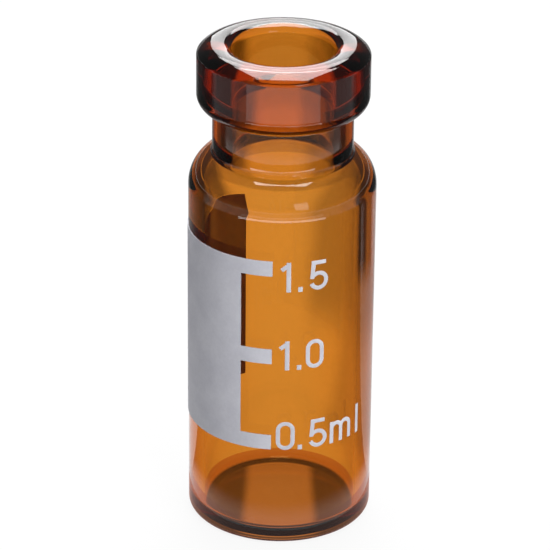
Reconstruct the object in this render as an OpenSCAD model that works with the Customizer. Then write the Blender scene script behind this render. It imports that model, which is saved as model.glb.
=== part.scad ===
/* [Body] */
// Outside diameter of the body
body_d = 11.7; // [11:0.1:13]
// Height of the whole vial, from the resting ring to the lip
vial_h = 31.8; // [28:0.1:40]
// Thickness of the wall along the body
wall_t = 1; // [0.7:0.05:1.2]
// Radius of the outside corner between the body and the base
heel_r = 0.45; // [0.2:0.05:0.8]

/* [Base] */
// Thickness of the glass at the middle of the base
base_t = 0.5; // [0.4:0.05:1.6]
// Radius of the inside corner between the wall and the floor
floor_r = 0.5; // [0.3:0.1:1.5]
// Inside diameter of the ring that the vial rests on
rest_d = 8.8; // [7:0.1:9.2]
// Height of the shallow dish that is pushed up under the base
dish_h = 0.15; // [0.1:0.05:0.6]
// Radius of the roll from the resting ring into the dish
dish_roll_r = 2; // [0.5:0.1:3]

/* [Shoulder and neck] */
// Outside radius of the shoulder
shoulder_r = 2.45; // [2:0.05:2.7]
// Height from the start of the shoulder to the underside of the head
neck_h = 5.1; // [4.5:0.1:7]
// Outside diameter of the neck
neck_d = 8.75; // [8.5:0.05:9]
// Radius of the hollow between the shoulder and the neck
neck_hollow_r = 0.3; // [0.1:0.05:0.6]
// Diameter of the bore through the neck and the head
bore_d = 6.3; // [6:0.05:6.8]
// Radius of the roll from the inside of the shoulder into the bore
throat_roll_r = 0.8; // [0.3:0.05:1.2]

/* [Crimp head] */
// Outside diameter of the head, which a crimp cap closes over
head_d = 10.7; // [10.2:0.05:11]
// Height of the head
head_h = 4.15; // [3.5:0.05:4.6]
// Radius of the head's upper corner
head_top_r = 0.35; // [0.2:0.05:0.6]
// Radius of the head's lower corner
head_under_r = 0.95; // [0.4:0.05:1]
// Radius of the hollow between the neck and the head
head_hollow_r = 0.2; // [0.1:0.05:0.4]
// Radius of the lip, where the top turns into the bore
lip_r = 0.55; // [0.3:0.05:0.8]
// Diameter of the ring along the crown of the fire-polished top, on which a septum seals
crown_d = 8.2; // [8:0.1:9]
// Radius of the top, which falls away from its crown on both sides
crown_round_r = 1.6; // [1.4:0.1:3]

/* [Fired print] */
// Thickness of the fired enamel
print_t = 0.05; // [0.02:0.01:0.1]
// Height of the write-on patch's lower edge above the resting ring
patch_z = 6.85; // [3:0.05:8]
// Height of the write-on patch
patch_h = 13; // [9:0.1:13.5]
// Length of the write-on patch, measured round the body
patch_l = 13.05; // [8:0.05:15]
// Direction of the patch's edge that carries the bars, in degrees round from +X
patch_edge_angle = 245; // [200:1:300]
// Length of a graduation bar beyond the patch, measured round the body
bar_l = 2; // [1:0.1:3]
// Height of a graduation bar
bar_h = 1; // [0.4:0.05:1.5]
// Number of graduation bars, from the patch's lower edge to its upper one
bar_count = 3; // [2:1:5]

/* [Hidden] */
$fn = 180;

body_r = body_d / 2;
inside_r = body_r - wall_t;
neck_r = neck_d / 2;
bore_r = bore_d / 2;
head_r = head_d / 2;
rest_r = rest_d / 2;
floor_z = dish_h + base_t;
head_z = vial_h - head_h;
shoulder_z = head_z - neck_h;
shoulder_x = body_r - shoulder_r;
under_x = head_r - head_under_r;
under_z = head_z + head_under_r;
crown_r = crown_d / 2;
crown_z = vial_h - crown_round_r;
top_x = head_r - head_top_r;
top_z = crown_z + sqrt(pow(crown_round_r - head_top_r, 2) - pow(top_x - crown_r, 2));
lip_x = bore_r + lip_r;
lip_z = crown_z + sqrt(pow(crown_round_r - lip_r, 2) - pow(lip_x - crown_r, 2));
// Radius of the dish, whose edge meets the roll from the resting ring with no crease
dish_r = (pow(rest_r, 2) + pow(dish_h, 2)) / (2 * dish_h) - dish_roll_r;
dish_edge_x = rest_r * dish_r / (dish_r + dish_roll_r);
// How far a cut runs past the face that it opens
past = 1;
// How far a roll dips into the round that it touches, so that the two cross and not just meet
hair = 0.0001;

// The vial is drawn as a half-section, with x as the distance from its axis and y as the height,
// and is turned about its axis.

// A block of the half-section between two corners
module block(low, high) {
    translate(low) square(high - low);
}

// The sliver between a square corner and the round of radius r that touches both its sides.
// The round lies from the corner towards the quadrant given as into.
module corner(at, into, r) {
    translate(at) difference() {
        translate([min(0, into.x * r), min(0, into.y * r)]) square(r);
        translate(into * r) circle(r);
    }
}

// The hollow roll of radius r between a wall at wall_x and a round that lies below it, filled
// from the axis out to the roll. The round's centre is at height 0 and its radius is round_r.
module hollow(wall_x, round_x, round_r, r) {
    roll_x = wall_x + r;
    touch_x = min(round_x, roll_x);
    roll_z = sqrt(pow(round_r + r - hair, 2) - pow(roll_x - touch_x, 2));
    difference() {
        polygon([[0, 0], [touch_x, 0], [roll_x, roll_z], [0, roll_z]]);
        translate([roll_x, roll_z]) circle(r);
    }
}

// A shoulder of radius r, from the height where the body's wall starts to turn in
module shoulder(r) {
    translate([shoulder_x, shoulder_z]) circle(r);
    block([0, shoulder_z], [shoulder_x, shoulder_z + r]);
}

module body_section() {
    difference() {
        block([0, 0], [body_r, shoulder_z]);
        corner([body_r, 0], [-1, 1], heel_r);
        dish_section();
    }
}

// The dish pushed up under the base, and the roll that leads into it
module dish_section() {
    intersection() {
        translate([0, dish_h - dish_r]) circle(dish_r);
        block([0, -past], [rest_r, dish_h]);
    }
    difference() {
        block([dish_edge_x, -past], [rest_r, dish_h]);
        translate([rest_r, dish_roll_r]) circle(dish_roll_r);
    }
}

module neck_section() {
    block([0, shoulder_z], [neck_r, under_z]);
    translate([0, shoulder_z]) hollow(neck_r, shoulder_x, shoulder_r, neck_hollow_r);
    translate([0, under_z]) mirror([0, 1]) hollow(neck_r, under_x, head_under_r, head_hollow_r);
}

module head_section() {
    difference() {
        block([0, head_z], [head_r, top_z]);
        corner([head_r, head_z], [-1, 1], head_under_r);
    }
    translate([top_x, top_z]) circle(head_top_r);
    intersection() {
        crown();
        block([0, crown_z], [crown_edge(top_x, head_top_r), vial_h]);
    }
}

// The round along the top of the head, whose centre lies at the height crown_z
module crown() {
    translate([crown_r, crown_z + hair]) circle(crown_round_r - hair);
}

// How far from the axis the crown's round runs on into a corner of radius r that is centred at x
function crown_edge(x, r) = crown_r + (x - crown_r) * crown_round_r / (crown_round_r - r);

// The space inside, from the floor to the open mouth
module inside_section() {
    difference() {
        block([0, floor_z], [inside_r, shoulder_z]);
        corner([inside_r, floor_z], [-1, 1], floor_r);
    }
    shoulder(shoulder_r - wall_t);
    translate([0, shoulder_z]) hollow(bore_r, shoulder_x, shoulder_r - wall_t, throat_roll_r);
    block([0, shoulder_z], [bore_r, vial_h + past]);
    difference() {
        block([0, lip_z], [crown_edge(lip_x, lip_r), vial_h + past]);
        translate([lip_x, lip_z]) circle(lip_r);
    }
}

// Tube glass, formed as one piece
module glass_vial() {
    color("sienna")
    rotate_extrude()
    difference() {
        union() {
            body_section();
            shoulder(shoulder_r);
            neck_section();
            head_section();
        }
        inside_section();
    }
}

// A field of enamel on the body, of height h and length l, that ends at the direction end_a
module field(z, h, l, end_a) {
    turn = l / body_r * 180 / PI;
    rotate_extrude(angle = turn, start = end_a - turn)
    block([body_r, z], [body_r + print_t, z + h]);
}

// The patch, with its graduation bars level with its two ends and evenly between them
module write_on_patch() {
    bar_turn = bar_l / body_r * 180 / PI;
    color("lightgray") {
        field(patch_z, patch_h, patch_l, patch_edge_angle);
        for (i = [0 : bar_count - 1])
            field(patch_z + i * (patch_h - bar_h) / (bar_count - 1), bar_h,
                  patch_l + bar_l, patch_edge_angle + bar_turn);
    }
}

glass_vial();
write_on_patch();
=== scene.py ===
from math import asin, atan2, ceil, cos, degrees, hypot, pi, radians, sin, sqrt

import bpy
from mathutils import Matrix, Vector


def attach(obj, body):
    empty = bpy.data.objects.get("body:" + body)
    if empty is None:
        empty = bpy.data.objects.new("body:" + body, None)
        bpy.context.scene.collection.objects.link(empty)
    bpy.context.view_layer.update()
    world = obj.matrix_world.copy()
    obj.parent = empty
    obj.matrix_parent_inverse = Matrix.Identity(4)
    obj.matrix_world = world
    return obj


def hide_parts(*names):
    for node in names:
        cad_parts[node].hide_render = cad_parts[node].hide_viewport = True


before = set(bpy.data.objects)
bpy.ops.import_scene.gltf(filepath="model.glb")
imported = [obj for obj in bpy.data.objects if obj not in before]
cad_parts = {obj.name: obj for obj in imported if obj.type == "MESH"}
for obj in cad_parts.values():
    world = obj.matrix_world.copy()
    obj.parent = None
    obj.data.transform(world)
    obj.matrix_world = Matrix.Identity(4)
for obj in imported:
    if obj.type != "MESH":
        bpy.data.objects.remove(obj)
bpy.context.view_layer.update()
bpy.ops.object.select_all(action="DESELECT")

# Glass vial.
# Amber tube glass, formed at the flame as one piece: the base, the body, the shoulder, the neck
# and the crimp head. It is drawn as half of its section and turned about its axis.
MM = 0.001

body_r = 5.85
vial_h = 31.8
wall_t = 1
heel_r = 0.45
base_t = 0.5
floor_r = 0.5
rest_r = 4.4
dish_h = 0.15
dish_roll_r = 2
shoulder_r = 2.45
neck_h = 5.1
neck_r = 4.375
neck_hollow_r = 0.3
bore_r = 3.15
throat_roll_r = 0.8
head_r = 5.35
head_h = 4.15
head_top_r = 0.35
head_under_r = 0.95
head_hollow_r = 0.2
lip_r = 0.55
crown_r = 4.1
crown_round_r = 1.6

same_point = 0.0001 * MM


def start_line(name, x, z):
    """A new mesh of one point, the start of a line that is drawn in the plane y = 0, in mm."""
    bpy.ops.object.select_all(action="DESELECT")
    bpy.ops.mesh.primitive_plane_add(size=MM)
    bpy.context.object.name = name
    bpy.ops.object.mode_set(mode="EDIT")
    bpy.ops.mesh.merge(type="CENTER")
    bpy.ops.transform.translate(value=(x * MM, 0, z * MM))


def straight(x, z, short_end=0):
    """Draws on by x outwards and z upwards. Short ends keep the shading of a long flat true."""
    length = hypot(x, z)
    for part in (short_end, length - 2 * short_end, short_end):
        if part > 0:
            step = Vector((x, 0, z)) * part / length * MM
            bpy.ops.mesh.extrude_region_move(TRANSFORM_OT_translate={"value": step})


def arc(x, z, turn, step=4.5):
    """Draws on round the centre x, z through a turn in degrees, counter-clockwise seen from -Y,
    with a point at each step of so many degrees or less."""
    bpy.ops.mesh.spin(steps=max(4, ceil(abs(turn) / step)), angle=radians(turn),
                      center=(x * MM, 0, z * MM), axis=(0, 1, 0))


def turn_about_axis(steps):
    """Turns the whole line about the vial's axis into one closed skin."""
    bpy.ops.mesh.select_all(action="SELECT")
    bpy.ops.mesh.spin(steps=steps, angle=2 * pi, center=(0, 0, 0), axis=(0, 0, 1))
    bpy.ops.mesh.select_all(action="SELECT")
    bpy.ops.mesh.remove_doubles(threshold=same_point)
    bpy.ops.mesh.normals_make_consistent(inside=False)
    bpy.ops.object.mode_set(mode="OBJECT")
    bpy.ops.object.shade_smooth()
    return bpy.context.object


inside_r = body_r - wall_t
inside_shoulder_r = shoulder_r - wall_t
floor_z = dish_h + base_t
head_z = vial_h - head_h
shoulder_x = body_r - shoulder_r
shoulder_z = head_z - neck_h
under_x = head_r - head_under_r
under_z = head_z + head_under_r
dish_r = (rest_r ** 2 + dish_h ** 2) / (2 * dish_h) - dish_roll_r
dish_turn = degrees(asin(rest_r / (dish_r + dish_roll_r)))


def meet(wall_x, roll_r, round_x, round_r):
    """Where a roll between a wall and a round starts and ends: its height over the round's
    centre, and how far the line turns on it, in degrees."""
    across = wall_x + roll_r - round_x
    up = sqrt((round_r + roll_r) ** 2 - across ** 2)
    return up, degrees(atan2(up, across))


def corner_of_crown(x, r):
    """A corner of radius r, centred at x, that the crown's round runs into: its height over the
    round's centre, and how far the round turns from its top to reach it, in degrees."""
    across = abs(x - crown_r)
    up = sqrt((crown_round_r - r) ** 2 - across ** 2)
    return up, degrees(atan2(across, up))


neck_up, neck_turn = meet(neck_r, neck_hollow_r, shoulder_x, shoulder_r)
under_up, under_turn = meet(neck_r, head_hollow_r, under_x, head_under_r)
throat_up, throat_turn = meet(bore_r, throat_roll_r, shoulder_x, inside_shoulder_r)
top_x = head_r - head_top_r
lip_x = bore_r + lip_r
crown_z = vial_h - crown_round_r
top_up, top_turn = corner_of_crown(top_x, head_top_r)
lip_up, lip_turn = corner_of_crown(lip_x, lip_r)

end = 0.12
dish_step = 0.8
roll_step = 1.2
round_step = 3
start_line("glass_vial_tube", 0, dish_h)
arc(0, dish_h - dish_r, -dish_turn, dish_step)
arc(rest_r, dish_roll_r, dish_turn, roll_step)
straight(body_r - heel_r - rest_r, 0, end)
arc(body_r - heel_r, heel_r, 90)
straight(0, shoulder_z - heel_r, end)
arc(shoulder_x, shoulder_z, neck_turn, round_step)
arc(neck_r + neck_hollow_r, shoulder_z + neck_up, -neck_turn)
straight(0, under_z - under_up - shoulder_z - neck_up, end)
arc(neck_r + head_hollow_r, under_z - under_up, -under_turn)
arc(under_x, under_z, under_turn)
straight(0, crown_z + top_up - under_z, end)
arc(top_x, crown_z + top_up, 90 - top_turn)
arc(crown_r, crown_z, top_turn + lip_turn, round_step)
arc(lip_x, crown_z + lip_up, 90 - lip_turn)
straight(0, shoulder_z + throat_up - crown_z - lip_up, end)
arc(bore_r + throat_roll_r, shoulder_z + throat_up, throat_turn)
arc(shoulder_x, shoulder_z, -throat_turn, round_step)
straight(0, floor_z + floor_r - shoulder_z, end)
arc(inside_r - floor_r, floor_z + floor_r, -90)
straight(floor_r - inside_r, 0, end)
glass = turn_about_axis(steps=256)


def linear(hex_colour):
    """A colour written as sRGB hex, turned linear for a shader."""
    parts = [int(hex_colour[i:i + 2], 16) / 255 for i in (0, 2, 4)]
    return [p / 12.92 if p <= 0.04045 else ((p + 0.055) / 1.055) ** 2.4 for p in parts] + [1]


def add(tree, kind, settings=None, links=None, **values):
    """Adds a node. Settings are its own properties, links what feeds its sockets, and values
    what its other sockets are set to."""
    node = tree.nodes.new(kind)
    for key, value in (settings or {}).items():
        setattr(node, key, value)
    for key, value in values.items():
        node.inputs[key.replace("_", " ")].default_value = value
    for key, source in (links or {}).items():
        tree.links.new(source, node.inputs[key])
    return node


def new_material(name):
    """A new material, and its tree with no nodes in it yet."""
    material = bpy.data.materials.new(name)
    material.use_nodes = True
    material.node_tree.nodes.clear()
    return material, material.node_tree


def amber_tube_glass():
    """Amber glass, drawn as tube and fire-polished: clear and glossy. A thin wall looks light
    brown, and a long way through the glass looks deep red, because it takes up the blue most
    and the red least. The density is for each metre."""
    material, tree = new_material("amber_tube_glass")
    surface = add(tree, "ShaderNodeBsdfPrincipled", Base_Color=linear("FFFFFF"), Roughness=0.0,
                  IOR=1.51, Transmission_Weight=1.0)
    volume = add(tree, "ShaderNodeVolumeAbsorption", Color=linear("F3D141"), Density=1900)
    add(tree, "ShaderNodeOutputMaterial",
        links={"Surface": surface.outputs[0], "Volume": volume.outputs[0]})
    return material


glass.data.materials.append(amber_tube_glass())
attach(glass, "root")
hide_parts("glass_vial")

# Write-on patch.
# Pale enamel ink, screen-printed on the body as a field to write on, with a graduation bar at
# its lower end, its middle and its upper end. It is one thin layer, fired until it fuses on.
print_t = 0.05
patch_z = 6.85
patch_h = 13
patch_l = 13.05
patch_edge = 245
bar_l = 2
bar_h = 1
bar_count = 3
bite = 0.01

print_r = body_r + print_t
bar_zs = [patch_z + i * (patch_h - bar_h) / (bar_count - 1) for i in range(bar_count)]


def upright_strip(name, heights, r_in, r_out, azimuth):
    """An upright strip of faces from the inner to the outer radius, cut at each height, in mm."""
    out = Vector((cos(radians(azimuth)), sin(radians(azimuth)), 0)) * MM
    bpy.ops.object.select_all(action="DESELECT")
    bpy.ops.mesh.primitive_plane_add(size=MM)
    strip = bpy.context.object
    strip.name = name
    bpy.ops.object.mode_set(mode="EDIT")
    bpy.ops.mesh.merge(type="CENTER")
    bpy.ops.transform.translate(value=out * r_in + Vector((0, 0, heights[0] * MM)))
    for low, high in zip(heights, heights[1:]):
        up = (0, 0, (high - low) * MM)
        bpy.ops.mesh.extrude_region_move(TRANSFORM_OT_translate={"value": up})
    bpy.ops.mesh.select_all(action="SELECT")
    bpy.ops.mesh.extrude_region_move(TRANSFORM_OT_translate={"value": out * (r_out - r_in)})
    bpy.ops.mesh.select_all(action="SELECT")
    return strip


def degrees_of(length):
    """A length round the body, in mm, as an angle in degrees."""
    return degrees(length / body_r)


def sweep(turn, step=1.5):
    """Sweeps what is selected round the vial's axis, counter-clockwise seen from above."""
    bpy.ops.mesh.spin(steps=ceil(turn / step), angle=-radians(turn),
                      center=(0, 0, 0), axis=(0, 0, 1))


patch_turn = degrees_of(patch_l)
bar_edges = sorted(z for bar_z in bar_zs for z in (bar_z, bar_z + bar_h))
patch = upright_strip("write_on_patch_enamel", bar_edges, body_r - bite, print_r,
                      patch_edge - patch_turn)
bpy.ops.mesh.select_mode(type="FACE")
sweep(patch_turn)

# The faces at the patch's edge are still selected, and those of the bars are swept on.
bpy.ops.object.mode_set(mode="OBJECT")
end_faces = [face.index for face in patch.data.polygons if face.select]
bpy.ops.object.mode_set(mode="EDIT")
bpy.ops.mesh.select_all(action="DESELECT")
bpy.ops.object.mode_set(mode="OBJECT")
for index in end_faces:
    z = patch.data.polygons[index].center.z / MM
    patch.data.polygons[index].select = any(bar_z < z < bar_z + bar_h for bar_z in bar_zs)
bpy.ops.object.mode_set(mode="EDIT")
sweep(degrees_of(bar_l))
bpy.ops.mesh.select_mode(type="VERT")
bpy.ops.mesh.select_all(action="SELECT")
bpy.ops.mesh.remove_doubles(threshold=same_point)
bpy.ops.mesh.normals_make_consistent(inside=False)
bpy.ops.object.mode_set(mode="OBJECT")


def fired_enamel():
    """Pale enamel ink, screen-printed and fired: matt, a little uneven in its cover, and with the
    grain that the screen leaves. The threads of a real screen lie about 0.1 mm apart, and the
    grain is drawn twice as coarse, so that it shows."""
    cover_size = 1.8
    grain_size = 0.22
    grain_depth = 0.02
    material, tree = new_material("fired_pale_enamel")
    place = add(tree, "ShaderNodeTexCoord")
    cover = add(tree, "ShaderNodeTexNoise", None, {"Vector": place.outputs["Object"]},
                Scale=1 / (cover_size * MM), Detail=3.0, Roughness=0.55)
    grain = add(tree, "ShaderNodeTexNoise", None, {"Vector": place.outputs["Object"]},
                Scale=1 / (grain_size * MM), Detail=2.0, Roughness=0.6)
    shade = add(tree, "ShaderNodeMapRange", None, {"Value": cover.outputs["Fac"]},
                From_Min=0.3, From_Max=0.7)
    ink = add(tree, "ShaderNodeMix", {"data_type": "RGBA"}, {0: shade.outputs["Result"]})
    ink.inputs[6].default_value = linear("C6C6D0")
    ink.inputs[7].default_value = linear("D3D3DB")
    speck = add(tree, "ShaderNodeMapRange", None, {"Value": grain.outputs["Fac"]},
                From_Min=0.3, From_Max=0.7, To_Min=0.94, To_Max=1.0)
    inked = add(tree, "ShaderNodeVectorMath", {"operation": "SCALE"},
                {0: ink.outputs[2], "Scale": speck.outputs["Result"]})
    gloss = add(tree, "ShaderNodeMapRange", None, {"Value": cover.outputs["Fac"]},
                From_Min=0.3, From_Max=0.7, To_Min=0.5, To_Max=0.68)
    bump = add(tree, "ShaderNodeBump", None, {"Height": grain.outputs["Fac"]},
               Strength=0.35, Distance=grain_depth * MM)
    surface = add(tree, "ShaderNodeBsdfPrincipled", None,
                  {"Base Color": inked.outputs[0], "Roughness": gloss.outputs["Result"],
                   "Normal": bump.outputs["Normal"]})
    add(tree, "ShaderNodeOutputMaterial", links={"Surface": surface.outputs[0]})
    return material


patch.data.materials.append(fired_enamel())
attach(patch, "root")
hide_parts("write_on_patch")

# Graduation numerals.
# The same fired enamel, printed with the patch to the right of its bars. Each stroke lies on the
# glass as a low domed line of ink. They are drawn flat, as lines, and then laid round the body.
numeral_h = 2.0
letter_h = 1.5
digit_w = 1.2
stroke_w = 0.28
stroke_t = 0.02
stroke_step = 15
numerals_front = 270


def stem(x, z_low, z_high):
    """An upright stroke between two heights."""
    start_line("stroke", x, z_low)
    straight(0, z_high - z_low)


# Each of these draws one figure or letter from its lower left corner, and stops after every
# stroke, so that the stroke is inked before the next one starts.

def draw_nought(x, z):
    half = (digit_w - stroke_w) / 2
    middle = x + digit_w / 2
    low = z + stroke_w / 2 + half
    tall = numeral_h - stroke_w - 2 * half
    start_line("stroke", middle + half, low)
    straight(0, tall)
    arc(middle, low + tall, 180, stroke_step)
    straight(0, -tall)
    arc(middle, low, 180, stroke_step)
    yield


def draw_one(x, z):
    stem_x = x + 0.6
    flag_w = 0.46
    flag_h = 0.36
    flag_below_top = 0.16
    overlap = 0.02
    stem(stem_x, z, z + numeral_h)
    yield
    start_line("stroke", stem_x + overlap, z + numeral_h - flag_below_top)
    straight(-flag_w, -flag_h)
    yield


def draw_five(x, z):
    bowl_r = 0.5
    bowl_opens_at = 150
    bowl_turn = 310
    back_lean = 0.09
    overlap = 0.1
    end = 0.2
    bowl_x = x + bowl_r + stroke_w / 2
    bowl_z = z + bowl_r + stroke_w / 2
    back_x = bowl_x + bowl_r * cos(radians(bowl_opens_at))
    back_z = bowl_z + bowl_r * sin(radians(bowl_opens_at))
    top = z + numeral_h - stroke_w / 2
    right = x + digit_w - overlap
    start_line("stroke", right, top)
    straight(back_x + back_lean - stroke_w / 2 - right, 0, end)
    yield
    start_line("stroke", back_x, back_z - overlap)
    straight(back_lean, top - back_z + overlap)
    yield
    start_line("stroke", back_x, back_z)
    arc(bowl_x, bowl_z, -bowl_turn, stroke_step)
    yield


def draw_point(x, z):
    point_x = x + 0.15
    point_h = 0.32
    stem(point_x, z, z + point_h)
    yield


def draw_m(x, z):
    arch_r = 0.36
    arch_z = z + letter_h - stroke_w / 2 - arch_r
    stem(x + stroke_w / 2, z, z + letter_h)
    yield
    for k in (0, 1):
        left = x + stroke_w / 2 + 2 * k * arch_r
        start_line("stroke", left, arch_z)
        arc(left + arch_r, arch_z, -180, stroke_step)
        straight(0, z - arch_z)
        yield


def draw_l(x, z):
    stem(x + stroke_w / 2, z, z + numeral_h)
    yield


drawn = {"0": draw_nought, "1": draw_one, "5": draw_five, ".": draw_point,
         "m": draw_m, "l": draw_l}

# Each number's height over the foot, and where its characters start to the right of the front
numbers = [
    (6.8, [("0", -0.26), (".", 1.12), ("5", 1.8), ("m", 3.3), ("l", 5.54)]),
    (12.42, [("1", -0.2), (".", 1.0), ("0", 1.56)]),
    (17.78, [("1", -0.16), (".", 1.02), ("5", 1.7)]),
]


def ink_stroke():
    """Gives the drawn line the width and the round section of a printed stroke."""
    bpy.ops.mesh.select_all(action="SELECT")
    bpy.ops.mesh.remove_doubles(threshold=10 * same_point)
    bpy.ops.object.mode_set(mode="OBJECT")
    bpy.ops.object.convert(target="CURVE")
    line = bpy.context.object
    line.data.bevel_depth = stroke_w / 2 * MM
    line.data.bevel_resolution = 3
    line.data.use_fill_caps = True
    bpy.ops.object.convert(target="MESH")
    return bpy.context.object


strokes = []
for z, characters in numbers:
    for character, x in characters:
        for _ in drawn[character](x, z):
            strokes.append(ink_stroke())
bpy.ops.object.select_all(action="DESELECT")
for stroke in strokes:
    stroke.select_set(True)
bpy.context.view_layer.objects.active = strokes[0]
bpy.ops.object.join()
numerals = bpy.context.object
numerals.name = "graduation_numerals"

# The front half of each round stroke becomes the low dome of ink, and the back half is fused on.
for vertex in numerals.data.vertices:
    x, y, z = vertex.co
    out = -y / (stroke_w / 2 * MM)
    r = body_r * MM + out * (stroke_t if out > 0 else bite) * MM
    turn = radians(numerals_front) + x / (body_r * MM)
    vertex.co = (r * cos(turn), r * sin(turn), z)
numerals.data.materials.append(patch.data.materials[0])
bpy.ops.object.shade_smooth_by_angle(angle=radians(50))
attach(numerals, "root")

# Studio.
# A sheet of white paper under the vial, soft lights over it, behind it and at the front right,
# and flat cards on the paper, which only the glass shows: dark ones for the dark edges that clear
# glass needs, glowing ones for the bright lines and veils on its front, and a glowing one under
# the foot with painted light and a painted contact shadow.
floor_size = 4000
far_r = 600


def lying_card(name, r_in, r_out, azimuth, turn, height):
    """A flat card over the floor, a sector of a ring round the vial's axis, in mm and degrees."""
    out = Vector((cos(radians(azimuth)), sin(radians(azimuth)), 0)) * MM
    bpy.ops.object.select_all(action="DESELECT")
    bpy.ops.mesh.primitive_plane_add(size=MM)
    card = bpy.context.object
    card.name = name
    bpy.ops.object.mode_set(mode="EDIT")
    bpy.ops.mesh.merge(type="CENTER")
    bpy.ops.transform.translate(value=out * r_in + Vector((0, 0, height * MM)))
    bpy.ops.mesh.extrude_region_move(TRANSFORM_OT_translate={"value": out * (r_out - r_in)})
    bpy.ops.mesh.select_all(action="SELECT")
    sweep(turn, step=3)
    bpy.ops.mesh.select_all(action="SELECT")
    bpy.ops.mesh.normals_make_consistent(inside=False)
    bpy.ops.object.mode_set(mode="OBJECT")
    return card


def white_paper():
    """Matt paper. It is white where it is seen, plainly or in the glass, with the vial's soft
    shadow on it, and grey to the lamps, so that it throws little light back on the vial."""
    paper_glow = 0.85
    material, tree = new_material("white_paper")
    path = add(tree, "ShaderNodeLightPath")
    seen = add(tree, "ShaderNodeMath", {"operation": "ADD", "use_clamp": True},
               {0: path.outputs["Is Camera Ray"], 1: path.outputs["Is Glossy Ray"]})
    seen = add(tree, "ShaderNodeMath", {"operation": "ADD", "use_clamp": True},
               {0: seen.outputs[0], 1: path.outputs["Is Transmission Ray"]})
    share = add(tree, "ShaderNodeMath", {"operation": "MULTIPLY"}, {0: seen.outputs[0]})
    share.inputs[1].default_value = paper_glow
    glow = add(tree, "ShaderNodeEmission", Color=linear("FFFFFF"), Strength=1.06)
    paper = add(tree, "ShaderNodeBsdfDiffuse", Color=linear("A0A0A0"))
    mix = add(tree, "ShaderNodeMixShader", None,
              {0: share.outputs[0], 1: paper.outputs[0], 2: glow.outputs[0]})
    add(tree, "ShaderNodeOutputMaterial", links={"Surface": mix.outputs[0]})
    return material


def dark_card(name, clear_r, dark_r, darkness=1.0, around=None):
    """Black card that fades out towards the vial, from dark_r inwards to clear_r, in mm, so that
    what it draws in the glass has soft ends. Around gives how dark it is at each azimuth."""
    material, tree = new_material(name)
    place = add(tree, "ShaderNodeTexCoord")
    reach = add(tree, "ShaderNodeVectorMath", {"operation": "LENGTH"},
                {0: place.outputs["Object"]})
    fade = add(tree, "ShaderNodeMapRange", {"interpolation_type": "SMOOTHSTEP"},
               {"Value": reach.outputs["Value"]},
               From_Min=clear_r * MM, From_Max=dark_r * MM, To_Max=darkness)
    cover = fade.outputs["Result"]
    if around:
        turn = add(tree, "ShaderNodeTexGradient", {"gradient_type": "RADIAL"},
                   {"Vector": place.outputs["Object"]})
        ramp = add(tree, "ShaderNodeValToRGB", None, {"Fac": turn.outputs["Fac"]})
        ramp.color_ramp.interpolation = "EASE"
        while len(ramp.color_ramp.elements) < len(around):
            ramp.color_ramp.elements.new(0.5)
        for stop, (azimuth, dark) in zip(ramp.color_ramp.elements, around):
            stop.position = azimuth / 360 + 0.5
            stop.color = (dark, dark, dark, 1)
        product = add(tree, "ShaderNodeMath", {"operation": "MULTIPLY"},
                      {0: cover, 1: ramp.outputs["Color"]})
        cover = product.outputs[0]
    clear = add(tree, "ShaderNodeBsdfTransparent")
    face = add(tree, "ShaderNodeBsdfDiffuse", Color=linear("303030"))
    mix = add(tree, "ShaderNodeMixShader", None,
              {0: cover, 1: clear.outputs[0], 2: face.outputs[0]})
    add(tree, "ShaderNodeOutputMaterial", links={"Surface": mix.outputs[0]})
    return material


def glowing_card(name, glow):
    """White card that glows evenly, though it is no lamp and nothing lights it, and draws a
    bright line or a thin veil in the glass's reflections.
    """
    material, tree = new_material(name)
    face = add(tree, "ShaderNodeEmission", Color=linear("FFFFFF"), Strength=glow)
    add(tree, "ShaderNodeOutputMaterial", links={"Surface": face.outputs[0]})
    return material


def foot_card():
    """A glowing card in place of the paper under the foot, with light and shade painted on it as
    the
    thick glass shows them: painted light along its middle, painted shade beside it, a painted
    shadow darkest where the resting ring shades it, and painted light again outside that. Its pink
    tint is painted light that came through the amber glass."""
    half_stripe = 1.8
    half_dark = 2.6
    ring_shade = (4.3, 4.6, 0.1)
    outside_ring = (5.25, 5.45, 0.75)
    material, tree = new_material("foot_card")
    place = add(tree, "ShaderNodeTexCoord")
    parts = add(tree, "ShaderNodeSeparateXYZ", None, {0: place.outputs["Object"]})
    across = add(tree, "ShaderNodeMath", {"operation": "ABSOLUTE"}, {0: parts.outputs["X"]})
    stripe = add(tree, "ShaderNodeMapRange", {"interpolation_type": "SMOOTHSTEP"},
                 {"Value": across.outputs[0]},
                 From_Min=half_stripe * MM, From_Max=half_dark * MM, To_Min=0.66, To_Max=0.17)
    reach = add(tree, "ShaderNodeVectorMath", {"operation": "LENGTH"},
                {0: place.outputs["Object"]})
    level = stripe.outputs["Result"]
    for r_in, r_out, glow in (ring_shade, outside_ring):
        ring = add(tree, "ShaderNodeMapRange", {"interpolation_type": "SMOOTHSTEP"},
                   {"Value": reach.outputs["Value"]}, From_Min=r_in * MM, From_Max=r_out * MM)
        ringed = add(tree, "ShaderNodeMix", {"data_type": "FLOAT"},
                     {0: ring.outputs["Result"], 2: level})
        ringed.inputs[3].default_value = glow
        level = ringed.outputs[0]
    # The card glows with its painted light and shade, tinted pink as light that came through the
    # amber glass.
    face = add(tree, "ShaderNodeEmission", None, {"Strength": level}, Color=linear("FFD4CB"))
    add(tree, "ShaderNodeOutputMaterial", links={"Surface": face.outputs[0]})
    return material


def hide_card(card, glossy=True, transmission=True):
    """A card that only the glass shows, in its reflections, through it or both."""
    card.visible_camera = False
    card.visible_diffuse = False
    card.visible_shadow = False
    card.visible_volume_scatter = False
    card.visible_glossy = glossy
    card.visible_transmission = transmission


bpy.ops.object.select_all(action="DESELECT")
bpy.ops.mesh.primitive_plane_add(size=floor_size * MM)
floor = bpy.context.object
floor.name = "studio_floor"
floor.data.materials.append(white_paper())

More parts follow.
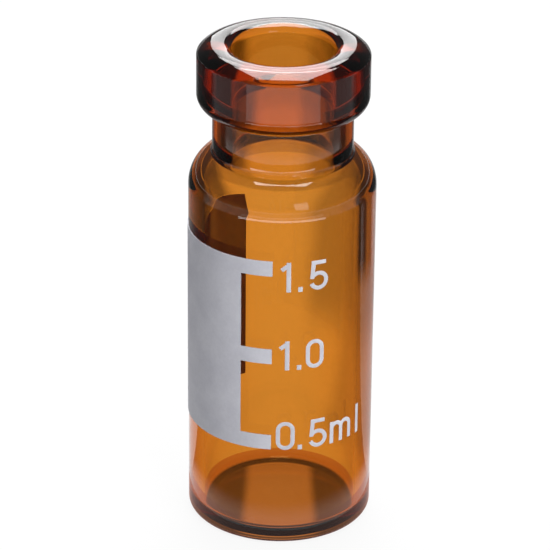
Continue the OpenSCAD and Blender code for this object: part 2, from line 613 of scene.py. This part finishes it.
# The dark cards behind the vial, one over the other. Most end at its two sides and leave a gap
# straight behind it. Each has its own reach, and its own darkness at each azimuth.
back_around = [(8, 0), (20, 0.3), (58, 0.34), (80, 0.4), (86, 0),
               (98, 0), (106, 0.7), (160, 1), (172, 0)]
far_around = [(8, 0), (20, 1), (58, 1), (68, 0.3), (80, 0),
              (100, 0), (114, 0.3), (124, 1), (160, 1), (172, 0)]
right_around = [(18, 0), (27, 1), (43, 1), (52, 0)]
near_around = [(8, 0), (22, 0.32), (60, 0.32), (74, 0)]
back_flag = lying_card("back_flag", 20, far_r, 0, 180, 0.3)
back_flag.data.materials.append(dark_card("back_flag", 22, 32, 1.0, back_around))
hide_card(back_flag)
far_flag = lying_card("far_flag", 46, far_r, 0, 180, 0.35)
far_flag.data.materials.append(dark_card("far_flag", 46, 62, 1.0, far_around))
hide_card(far_flag)
right_flag = lying_card("right_flag", 34, far_r, 0, 70, 0.45)
right_flag.data.materials.append(dark_card("right_flag", 34, 41, 1.0, right_around))
hide_card(right_flag)
near_flag = lying_card("near_flag", 7.6, far_r, 0, 90, 0.5)
near_flag.data.materials.append(dark_card("near_flag", 7.6, 12, 1.0, near_around))
hide_card(near_flag)
grey_flag = lying_card("grey_flag", 60, far_r, 60, 60, 0.4)
grey_flag.data.materials.append(dark_card("grey_flag", 62, 70, 0.3))
hide_card(grey_flag)

# In front, only the reflections show the cards: dark ones from side to side, a bright strip for
# the line at the start of the shoulder, and a wide sheet for the veil on the head.
front_start = 162
front_turn = 216
front_azimuth = 270
fade_w = 3
for name, r_in, r_out, darkness in (("front_flag", 8, 62, 1.0), ("front_far_flag", 62, 400, 0.6)):
    flag = lying_card(name, r_in, r_out, front_start, front_turn, 0.2)
    flag.data.materials.append(dark_card(name, r_in, r_in + fade_w, darkness))
    hide_card(flag, transmission=False)
for name, r_in, r_out, turn, glow in (("front_strip", 54.2, 60.5, 104, 4.0),
                                      ("front_sheet", 71, 92, 96, 1.3)):
    sheet = lying_card(name, r_in, r_out, front_azimuth - turn / 2, turn, 0.25)
    sheet.data.materials.append(glowing_card(name, glow))
    hide_card(sheet, transmission=False)

# A glowing card under the foot, with painted light and a painted contact shadow, which only the
# glass shows.
foot = lying_card("foot_card", 0, 7.5, 0, 360, 0.003)
foot.data.materials.append(foot_card())
hide_card(foot)


def soft_light(name, elevation, across, distance, width, height, radiance, glossy=True):
    """A square soft light that faces the vial. Its place is given by its angle over the horizon
    behind the vial, its angle to the right, and its distance, in degrees and metres."""
    lamp_data = bpy.data.lights.new(name, "AREA")
    lamp_data.shape = "RECTANGLE"
    lamp_data.size = width
    lamp_data.size_y = height
    lamp_data.energy = radiance * pi * width * height
    lamp = bpy.data.objects.new(name, lamp_data)
    bpy.context.scene.collection.objects.link(lamp)
    a = radians(elevation)
    b = radians(across)
    place = Vector((sin(b), cos(b) * cos(a), cos(b) * sin(a))) * distance
    facing = place.to_track_quat("Z", "Y").to_matrix().to_4x4()
    lamp.matrix_world = Matrix.Translation(place) @ facing
    lamp.visible_camera = False
    lamp.visible_transmission = False
    lamp.visible_glossy = glossy


soft_light("back_strip", 24, 0, 0.6, 0.22, 0.26, 3.6)
soft_light("upper_strip", 48, 0, 0.6, 0.3, 0.26, 7.0)
soft_light("top_light", 78, 1, 0.6, 0.46, 0.5, 8.5)
soft_light("window", 160, 22, 0.6, 0.17, 0.2, 2.3)
soft_light("fill_light", 145, 30, 0.8, 0.4, 0.4, 9.0, glossy=False)

# The room: white where the camera sees it, and dim to the vial
world = bpy.data.worlds.new("studio")
bpy.context.scene.world = world
world.use_nodes = True
world.node_tree.nodes.clear()
path = add(world.node_tree, "ShaderNodeLightPath")
level = add(world.node_tree, "ShaderNodeMapRange", None, {"Value": path.outputs["Is Camera Ray"]},
            To_Min=0.1, To_Max=1.0)
sky = add(world.node_tree, "ShaderNodeBackground", None, {"Strength": level.outputs["Result"]},
          Color=linear("FFFFFF"))
add(world.node_tree, "ShaderNodeOutputWorld", links={"Surface": sky.outputs[0]})

# Camera.
# A long lens in front of the vial, about 26 degrees over the horizon, turned a little on its own
# axis. Its focal length is in widths of a picture's pixel.
image_w = 550
sensor_w = 36
focal_length = 3189.953
aim = Vector((-0.402, 0, 16.136)) * MM
place = Vector((-0.402, -180.890, 103.434)) * MM
roll = radians(0.582)
camera_data = bpy.data.cameras.new("camera")
camera = bpy.data.objects.new("camera", camera_data)
bpy.context.scene.collection.objects.link(camera)
bpy.context.scene.camera = camera
camera_data.sensor_width = sensor_w
camera_data.lens = focal_length * sensor_w / image_w
camera_data.clip_start = 0.01
camera_data.clip_end = 10
forward = (aim - place).normalized()
right = Vector((1, 0, 0))
up = right.cross(forward)
right_rolled = cos(roll) * right + sin(roll) * up
up_rolled = -sin(roll) * right + cos(roll) * up
turned = Matrix((right_rolled, up_rolled, -forward)).transposed().to_4x4()
camera.matrix_world = Matrix.Translation(place) @ turned

bpy.context.scene.view_settings.view_transform = "Standard"
